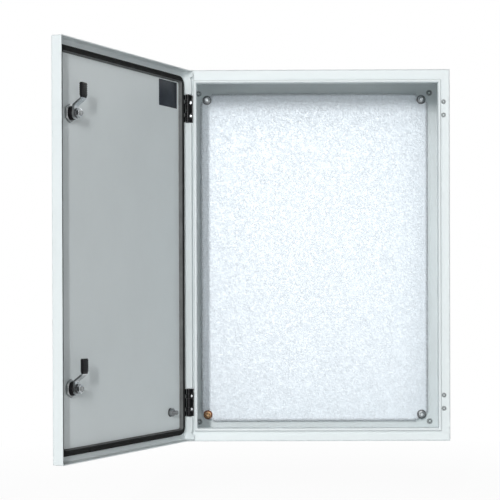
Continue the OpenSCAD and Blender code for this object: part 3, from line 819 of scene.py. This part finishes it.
def pan_screws(name, node, direction, head_height, turn):
    """Cross-head M5 pan screws in the place of a case node's plain ones."""
    cross_width, cross_depth = 0.52, 0.6
    screws, tools = bmesh.new(), bmesh.new()
    for box in solids(node):
        spot, length = seat(box, direction)
        wide, shank = across(box, direction), length - head_height
        add_rings(screws, thread_rings(M5, M5_PITCH, 0, shank, count=32, per_turn=6), spot)
        head = spot @ Matrix.Translation((0, 0, shank))
        add_rings(screws, dome_rings(wide, head_height), head)
        head = head @ Matrix.Rotation(turn, 4, "Z")
        add_cross(tools, head, wide * cross_width, head_height * cross_depth, head_height)
    data = carve(finish_mesh(screws, name), tools)
    stand_in(name, data, node, "zinc_plate")


class ENCLOSURE_OT_sheet_steel(bpy.types.Operator):
    """Powder-coats the case, its back panel, the gland plate and the door"""

    bl_idname = "enclosure.sheet_steel"
    bl_label = "Sheet steel"

    def execute(self, context):
        dress("powder_coat", "enclosure_shell", "back_panel", "gland_plate", "door_panel")
        return {"FINISHED"}


class ENCLOSURE_OT_mounting_plate(bpy.types.Operator):
    """Gives the mounting plate its galvanised finish"""

    bl_idname = "enclosure.mounting_plate"
    bl_label = "Mounting plate"

    def execute(self, context):
        dress("galvanised_sheet", "mounting_plate")
        return {"FINISHED"}


class ENCLOSURE_OT_plate_fixings(bpy.types.Operator):
    """Adds the threaded studs of the mounting plate, with their nuts and washers"""

    bl_idname = "enclosure.plate_fixings"
    bl_label = "Plate fixings"

    def execute(self, context):
        pitch = context.scene.enclosure_fittings.small_pitch
        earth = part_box("earth_nut")[0]
        rods = solids("plate_studs")
        brass = [n for n, box in enumerate(rods) if (box[0] - earth).length < EARTH_REACH]
        # The stud threads take zinc painted brighter as a painted highlight; the plate washers take zinc painted
        # darker as painted shade round the nuts.
        studs("plate_stud_threads", "plate_studs", OUT_OF_WALL, pitch, "bright_zinc", "brass",
              second=brass)
        for node, finish in (
            ("plate_nuts", "zinc_plate"), ("earth_nut", "brass"),
            ("plate_washers", "dull_zinc"), ("earth_washer", "copper"),
        ):
            fasteners(node, OUT_OF_WALL, span(rods[0]), finish)
        dress("zinc_plate", "plate_spacers")
        return {"FINISHED"}


def plug_profile(rim, head, neck, barb, height):
    """A snap-in plug: a barb, a neck and a head with a groove round its raised middle."""
    return [
        (barb * 0.8, 0), (barb, 0.7 * MM), (barb, 1.5 * MM), (neck, 1.55 * MM),
        (neck, height - head), (rim - 0.1 * MM, height - head), (rim, height - 0.8 * head),
        (rim * 0.97, height - 0.35 * head), (rim * 0.88, height), (rim * 0.74, height),
        (rim * 0.68, height - 0.85 * head), (rim * 0.42, height - 0.85 * head),
        (rim * 0.38, height - 0.2 * head), (rim * 0.3, height - 0.05 * head),
        (rim * 0.05, height - 0.05 * head),
    ]


def add_plug(mesh, profile, spot, shoulder):
    """A turned plug. The upright edge of its head and the groove in its face take the second finish, as painted
    shade for the shadow round the head and in the groove.
    """
    edge_from, groove_from, groove_to = 0.9, 0.4, 0.73
    before = len(mesh.faces)
    add_rings(mesh, turned_rings(profile), spot)
    widest = max(radius for radius, height in profile)
    top = max(height for radius, height in profile)
    groove_top = top - 0.3 * (top - shoulder)
    back = spot.inverted()
    mesh.faces.ensure_lookup_table()
    for face in mesh.faces[before:]:
        middle = back @ face.calc_center_median()
        out = math.hypot(middle.x, middle.y) / widest
        in_groove = groove_from < out < groove_to and middle.z < groove_top
        # Painted shade: faces at the head's edge and in the groove get the darkened plug finish.
        if middle.z > shoulder and (out > edge_from or in_groove):
            face.material_index = 1


class ENCLOSURE_OT_flange_plugs(bpy.types.Operator):
    """Adds the plugs in the flange's unused holes"""

    bl_idname = "enclosure.flange_plugs"
    bl_label = "Flange plugs"

    def execute(self, context):
        mesh = bmesh.new()
        for box in solids("flange_plugs"):
            spot, height = seat(box, OUT_OF_WALL)
            rim = span(box) / 2
            profile = plug_profile(rim, PLUG_HEAD, rim * 0.64, rim * 0.75, height)
            add_plug(mesh, profile, spot, height - PLUG_HEAD)
        stand_in("flange_plug_caps", mesh, "flange_plugs", "plug_plastic", "plug_rim")
        return {"FINISHED"}


class ENCLOSURE_OT_wall_plugs(bpy.types.Operator):
    """Adds the plugs that close the four wall holes until screws go in"""

    bl_idname = "enclosure.wall_plugs"
    bl_label = "Wall plugs"

    def execute(self, context):
        holes = next(item for item in frame["record"]["mounts"] if item["name"] == "wall_holes")
        middle, dims = Vector(holes["pos_m"]), holes["dims"]
        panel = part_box("back_panel")
        neck = dims["hole_r_mm"] * MM - WALL_PLUG_PLAY
        foot = panel[1].y - WALL_PLUG_PLAY
        shoulder = foot - panel[0].y
        top = shoulder + WALL_PLUG_HEAD
        profile = plug_profile(neck + WALL_PLUG_RIM, WALL_PLUG_HEAD, neck, neck, top)
        profile = [(neck * 0.8, 0)] + profile[4:]
        mesh = bmesh.new()
        for sx in (-1, 1):
            for sz in (-1, 1):
                offset = Vector((sx * dims["spacing_x_mm"], 0, sz * dims["spacing_y_mm"])) / 2 * MM
                spot = stand(Vector((middle.x, foot, middle.z)) + offset, OUT_OF_WALL)
                add_plug(mesh, profile, spot, top - WALL_PLUG_HEAD)
        add_piece("wall_hole_plugs", mesh, "enclosure", "grey_plastic", "plug_plastic", "plug_rim")
        return {"FINISHED"}


class ENCLOSURE_OT_gland_set(bpy.types.Operator):
    """Adds the gland plate's screws, and finishes its gasket"""

    bl_idname = "enclosure.gland_set"
    bl_label = "Gland set"

    def execute(self, context):
        dress("foam_rubber", "gland_gasket")
        pan_screws("gland_pan_screws", "gland_screws", DOWN, GLAND_SCREW_HEAD, 0.0)
        return {"FINISHED"}


class ENCLOSURE_OT_hinges(bpy.types.Operator):
    """Finishes the hinge leaves and pins, and adds their screws, studs and nuts"""

    bl_idname = "enclosure.hinges"
    bl_label = "Hinges"

    def execute(self, context):
        for side in SIDES:
            dress("black_coat", f"{side}_hinge_leaf", f"{side}_door_leaf")
            dress("dark_steel", f"{side}_hinge_pin")
        head, turn = HINGE_SCREW_HEAD, HINGE_SCREW_TURN
        pan_screws("hinge_pan_screws", "hinge_screws", OUT_OF_WALL, head, turn)
        fasteners("hinge_nuts", INTO_WALL, M5, "zinc_plate")
        studs("door_leaf_stud_threads", "door_leaf_studs", INTO_WALL, M4_PITCH, "zinc_plate")
        fasteners("door_leaf_nuts", INTO_WALL, M4, "zinc_plate")
        return {"FINISHED"}


class ENCLOSURE_OT_door_gasket(bpy.types.Operator):
    """Adds the foamed gasket with the mark that the rim has pressed into it"""

    bl_idname = "enclosure.door_gasket"
    bl_label = "Door gasket"

    def execute(self, context):
        low, high = solids("door_gasket")[0]
        middle, half, tall = (low + high) / 2, (high - low) / 2, high.y - low.y
        groove = context.scene.enclosure_fittings.foam_groove / tall
        section = [
            (0.0, 0.0), (0.0, 0.35), (0.06, 0.62), (0.17, 0.86), (0.29, 0.98), (0.36, 1.0),
            (0.42, 0.96), (0.5, 1.0 - groove), (0.58, 0.96), (0.64, 1.0), (0.71, 0.98),
            (0.83, 0.86), (0.94, 0.62), (1.0, 0.35), (1.0, 0.0),
        ]
        steps = 10
        stations = []
        for quarter, (sx, sz) in enumerate(((1, 1), (-1, 1), (-1, -1), (1, -1))):
            centre = Vector((sx * (half.x - GASKET_CORNER), 0, sz * (half.z - GASKET_CORNER)))
            for k in range(steps + 1):
                angle = math.pi / 2 * (quarter + k / steps)
                stations.append((centre, Vector((math.cos(angle), 0, math.sin(angle)))))
        rings = [
            [
                Vector((middle.x, low.y + tall * v, middle.z))
                + centre + out * (GASKET_CORNER - GASKET_WIDTH * u)
                for u, v in section
            ]
            for centre, out in stations
        ]
        mesh = bmesh.new()
        add_rings(mesh, rings, ON_DOOR, loop=True)
        # Painted light: faces on the gasket's inner side take the second finish, the foam painted paler.
        inner_side = range(11, len(section) - 1)
        for number, face in enumerate(mesh.faces):
            face.material_index = int(number % len(section) in inner_side)
        name = "door_foam_gasket"
        data = finish_mesh(mesh, name, sharp=50)
        stand_in(name, data, "door_gasket", "foam_rubber", "foam_skin")
        return {"FINISHED"}


class ENCLOSURE_OT_door_earth(bpy.types.Operator):
    """Adds the door's earth stud with its washer and nut"""

    bl_idname = "enclosure.door_earth"
    bl_label = "Door earth stud"

    def execute(self, context):
        pitch = context.scene.enclosure_fittings.small_pitch
        bore = span(solids("door_earth_stud")[0])
        studs("door_earth_thread", "door_earth_stud", INTO_WALL, pitch, "zinc_plate")
        fasteners("door_earth_nut", INTO_WALL, bore, "zinc_plate")
        # The washer takes zinc painted darker as painted shade round the nut.
        fasteners("door_earth_washer", INTO_WALL, bore, "dull_zinc")
        return {"FINISHED"}


class ENCLOSURE_OT_locks(bpy.types.Operator):
    """Adds both quarter-turn locks: threaded housings, nuts, rotors and the cams' sleeves"""

    bl_idname = "enclosure.locks"
    bl_label = "Locks"

    def execute(self, context):
        fittings = context.scene.enclosure_fittings
        for side in SIDES:
            self.housing(side, fittings.lock_pitch)
            self.rotor(side, fittings.small_pitch)
            self.sleeve(side)
            fasteners(f"{side}_lock_nut", INTO_WALL, BARREL, "die_cast")
            # Cam nuts take zinc painted brighter as a painted highlight, cam washers zinc painted darker as
            # painted shade.
            fasteners(f"{side}_cam_nut", INTO_WALL, M8, "bright_zinc")
            fasteners(f"{side}_cam_washer", INTO_WALL, M8, "dull_zinc")
            dress("foam_rubber", f"{side}_lock_seal")
            dress("pressed_steel", f"{side}_cam")
        return {"FINISHED"}

    def housing(self, side, pitch):
        """Round head outside the door, threaded barrel, and the rotor's bore through both."""
        node = f"{side}_lock_housing"
        box = solids(node)[0]
        spot, length = seat(box, INTO_WALL)
        head, barrel, bore, recess = span(box) / 2, BARREL / 2, 7.05 * MM, 9.05 * MM
        head_height, recess_depth, edge, count = 3.5 * MM, 3.0 * MM, 0.3 * MM, 64
        front = [
            (recess, recess_depth), (recess, edge), (recess + edge, 0), (recess + 1.6 * MM, 0),
            (recess + 1.9 * MM, edge), (head - 1.6 * MM, edge), (head - 1.2 * MM, 0),
            (head - 0.6 * MM, 0.1 * MM), (head, 0.8 * MM), (head, head_height),
            (barrel, head_height),
        ]
        inside = [(bore + 0.4 * MM, length), (bore, length - 0.4 * MM), (bore, recess_depth)]
        thread_start = head_height + 0.05 * MM
        rings = turned_rings(front, count)
        rings += thread_rings(BARREL, pitch, thread_start, length, tip=0.7 * MM, count=count)
        rings += turned_rings(inside, count)
        mesh = bmesh.new()
        add_rings(mesh, rings, ON_DOOR @ spot, loop=True)
        stand_in(f"{side}_lock_barrel", mesh, node, "black_plastic")

    def rotor(self, side, pitch):
        """Head with a double-bit socket, shaft, square seat of the cam and threaded end."""
        node = f"{side}_lock_rotor"
        box = solids(node)[0]
        cam = solids(f"{side}_cam")[0]
        spot, length = seat(box, INTO_WALL)
        head, shaft, socket, square = span(box) / 2, 7 * MM, 6 * MM, 4 * MM
        head_height, socket_depth, edge, join = 2.5 * MM, 6 * MM, 0.4 * MM, 0.01 * MM
        cam_level = cam[0].y - box[0].y
        cam_top = cam_level + CAM_SHEET
        rings = turned_rings([
            (0.3 * MM, socket_depth), (socket, socket_depth), (socket, edge), (socket + edge, 0),
            (head - edge, 0), (head, edge), (head, head_height), (shaft, head_height),
            (shaft, cam_level),
        ])

        def seat_radius(angle):
            return min(polygon_radius(angle + math.pi / 4, 4, square), 1.25 * square)

        for level in (cam_level + join, cam_top):
            rings.append(polar_ring(seat_radius, level, 48))
        rings += thread_rings(M8, pitch, cam_top + join, length, tip=1.4 * MM, count=48)
        place = ON_DOOR @ spot
        pin = [(2.5 * MM, 6.2 * MM), (2.5 * MM, 1.0 * MM), (2.1 * MM, 0.6 * MM)]
        bit_low, bit_high = Vector((-4.2, -1, 1.0)) * MM, Vector((4.2, 1, 6.2)) * MM
        mesh = bmesh.new()
        add_rings(mesh, rings, place)
        add_rings(mesh, turned_rings(pin, 32), place)
        add_box(mesh, bit_low, bit_high, place)
        stand_in(f"{side}_rotor_shaft", mesh, node, "die_cast")

    def sleeve(self, side):
        """Black sleeve over the cam's tip, with soft edges and a ribbed face."""
        name, node = f"{side}_cam_cap", f"{side}_cam_sleeve"
        low, high = solids(node)[0]
        cam_low, cam_high = solids(f"{side}_cam")[0]
        inset = Vector((0.35, 0.35, 0.0)) * MM
        mesh = bmesh.new()
        add_box(mesh, low + inset, high - inset, ON_DOOR, soft=1.0 * MM)
        ribs, half_rib = 6, 0.7 * MM
        pitch = (high.z - low.z) / (ribs + 1)
        for k in range(1, ribs + 1):
            level = low.z + k * pitch
            rib_low = (low.x, low.y, level - half_rib)
            rib_high = (high.x, high.y, level + half_rib)
            add_box(mesh, rib_low, rib_high, ON_DOOR, soft=0.3 * MM)
        gap, below = 0.05 * MM, 2 * MM
        slot_low = (cam_low.x - gap, cam_high.y - CAM_SHEET - gap, low.z - below)
        tool = bmesh.new()
        add_box(tool, slot_low, cam_high + Vector((gap, gap, gap)), ON_DOOR)
        data = carve(finish_mesh(mesh, name), tool)
        stand_in(name, data, node, "black_plastic")


class ENCLOSURE_OT_door_label(bpy.types.Operator):
    """Adds the bare dark label in the upper corner of the door"""

    bl_idname = "enclosure.door_label"
    bl_label = "Door label"

    def execute(self, context):
        fittings = context.scene.enclosure_fittings
        low, high = solids("door_gasket")[0]
        left = low.x + GASKET_WIDTH + fittings.label_gap
        top = high.z - GASKET_WIDTH - fittings.label_drop
        first = (left, low.y, top - fittings.label_height)
        second = (left + fittings.label_width, low.y + LABEL_THICKNESS, top)
        mesh = bmesh.new()
        add_box(mesh, first, second, ON_DOOR, soft=0.08 * MM)
        add_piece("door_label", mesh, "door", "black_plastic", "label_film")
        return {"FINISHED"}


# ---------- stage


LAMP_TARGET = Vector((0, -0.1, 0))
LAMPS = (
    ("key", (-1.0, -8.0, 1.38), (0.22, 1.04)),
    ("high_key", (-0.95, -7.6, 2.85), (0.22, 2.0)),
    ("left", (-3.4, -4.6, 5.2), (3.2, 3.0)),
    ("front", (0.4, -7.5, 0.7), (4.0, 2.2)),
    ("rear_left", (-4.4, 5.0, 4.0), (3.6, 3.0)),
    ("rear_right", (3.2, 6.2, 3.6), (3.0, 3.0)),
)
SENSOR_WIDTH = 36.0
FLOOR_RADIUS = 6.0
FADE_FROM, FADE_TO = 0.9, 1.7
WHITE_NEAR = 0.92


def seen_directly(tree):
    """1 for rays that show what is behind the object: from the eye, a reflection or glass."""
    path = tree.add("ShaderNodeLightPath").outputs
    glossy = tree.math("MAXIMUM", path["Is Glossy Ray"], path["Is Transmission Ray"])
    return tree.math("MAXIMUM", path["Is Camera Ray"], glossy)


class ENCLOSURE_OT_stage(bpy.types.Operator):
    """Sets up the camera, the lights, the floor and the white surroundings"""

    bl_idname = "enclosure.stage"
    bl_label = "Stage"

    def execute(self, context):
        stage = context.scene.enclosure_stage
        self.camera(context.scene, stage)
        self.surroundings(context.scene, stage)
        self.floor(stage)
        for name, place, size in LAMPS:
            self.softbox(f"{name}_light", place, size, getattr(stage, name))
        context.scene.view_settings.view_transform = "Standard"
        return {"FINISHED"}

    def camera(self, scene, stage):
        """A long lens in front of the case, a little left of its middle."""
        data = bpy.data.cameras.new("camera")
        data.lens = stage.camera_lens
        data.sensor_width = SENSOR_WIDTH
        data.shift_x, data.shift_y = stage.camera_shift
        camera = new_object("camera", data)
        camera.matrix_world = (
            Matrix.Translation(stage.camera_place)
            @ Matrix.Rotation(stage.camera_yaw, 4, "Z")
            @ Matrix.Rotation(stage.camera_pitch, 4, "X")
            @ Matrix.Rotation(stage.camera_roll, 4, "Y")
            @ Matrix.Rotation(math.pi / 2, 4, "X")
        )
        scene.camera = camera

    def softbox(self, name, place, size, level):
        """A light that shows a surface facing it at its own colour times level."""
        data = bpy.data.lights.new(name, "AREA")
        data.shape = "RECTANGLE"
        data.size, data.size_y = size
        away = Vector(place) - LAMP_TARGET
        data.energy = level * math.pi ** 2 * away.length_squared
        light = new_object(name, data)
        light.location = place
        light.rotation_mode = "QUATERNION"
        light.rotation_quaternion = away.to_track_quat("Z", "Y")

    def surroundings(self, scene, stage):
        """White where it is seen, and an even dimmer light elsewhere."""
        world = bpy.data.worlds.new("surroundings")
        world.use_nodes = True
        world.node_tree.nodes.clear()
        tree = Tree(world.node_tree)
        dim, white = (
            tree.add("ShaderNodeBackground", {"Color": colour, "Strength": strength}).outputs[0]
            for colour, strength in ((AMBIENT_TINT, stage.ambient), (WHITE, 1.0))
        )
        mixed = tree.add("ShaderNodeMixShader", {0: seen_directly(tree), 1: dim, 2: white})
        tree.add("ShaderNodeOutputWorld", {"Surface": mixed.outputs[0]})
        scene.world = world

    def floor(self, stage):
        """A pale round floor that fades into the white around it."""
        level = cad_bounds[0][2] - stage.floor_drop
        spot = Matrix.Translation((0, 0, level))
        mesh = bmesh.new()
        bmesh.ops.create_circle(mesh, cap_ends=True, segments=96, radius=FLOOR_RADIUS, matrix=spot)
        data = bpy.data.meshes.new("floor")
        mesh.to_mesh(data)
        mesh.free()
        surface = Surface("floor", {"Base Color": FLOOR_GREY, "Roughness": 0.8})
        white = surface.add("ShaderNodeEmission", {"Color": WHITE, "Strength": 1.0}).outputs[0]
        away = surface.vector_math("LENGTH", surface.place)["Value"]
        far = surface.spread(away, FADE_FROM, FADE_TO, WHITE_NEAR, 1.0)
        share = surface.times(far, seen_directly(surface))
        shaders = {0: share, 1: surface.shader.outputs["BSDF"], 2: white}
        mixed = surface.add("ShaderNodeMixShader", shaders).outputs[0]
        surface.put(mixed, surface.output.inputs["Surface"])
        data.materials.append(surface.material)
        new_object("floor", data)


PIECES = (
    ENCLOSURE_OT_sheet_steel,
    ENCLOSURE_OT_mounting_plate,
    ENCLOSURE_OT_plate_fixings,
    ENCLOSURE_OT_flange_plugs,
    ENCLOSURE_OT_wall_plugs,
    ENCLOSURE_OT_gland_set,
    ENCLOSURE_OT_hinges,
    ENCLOSURE_OT_door_gasket,
    ENCLOSURE_OT_door_earth,
    ENCLOSURE_OT_locks,
    ENCLOSURE_OT_door_label,
    ENCLOSURE_OT_stage,
)


class ENCLOSURE_PT_pieces(bpy.types.Panel):
    """Lists the settings and the operators"""

    bl_idname = "ENCLOSURE_PT_pieces"
    bl_label = "Wall enclosure"
    bl_space_type = "VIEW_3D"
    bl_region_type = "UI"
    bl_category = "Enclosure"

    def draw(self, context):
        layout = self.layout
        for group in ("enclosure_finish", "enclosure_fittings", "enclosure_stage"):
            settings = getattr(context.scene, group)
            box = layout.box()
            for name in settings.__annotations__:
                box.prop(settings, name)
        for piece in PIECES:
            layout.operator(piece.bl_idname)


SETTINGS = {
    "enclosure_finish": EnclosureFinish,
    "enclosure_fittings": EnclosureFittings,
    "enclosure_stage": EnclosureStage,
}


def register():
    for item in (*SETTINGS.values(), *PIECES, ENCLOSURE_PT_pieces):
        bpy.utils.register_class(item)
    for name, group in SETTINGS.items():
        setattr(bpy.types.Scene, name, PointerProperty(type=group))


def unregister():
    for name in SETTINGS:
        delattr(bpy.types.Scene, name)
    for item in reversed((*SETTINGS.values(), *PIECES, ENCLOSURE_PT_pieces)):
        bpy.utils.unregister_class(item)


def main():
    """Makes every piece and the stage."""
    register()
    for piece in PIECES:
        group, name = piece.bl_idname.split(".")
        getattr(getattr(bpy.ops, group), name)()


if __name__ == "__main__":
    main()
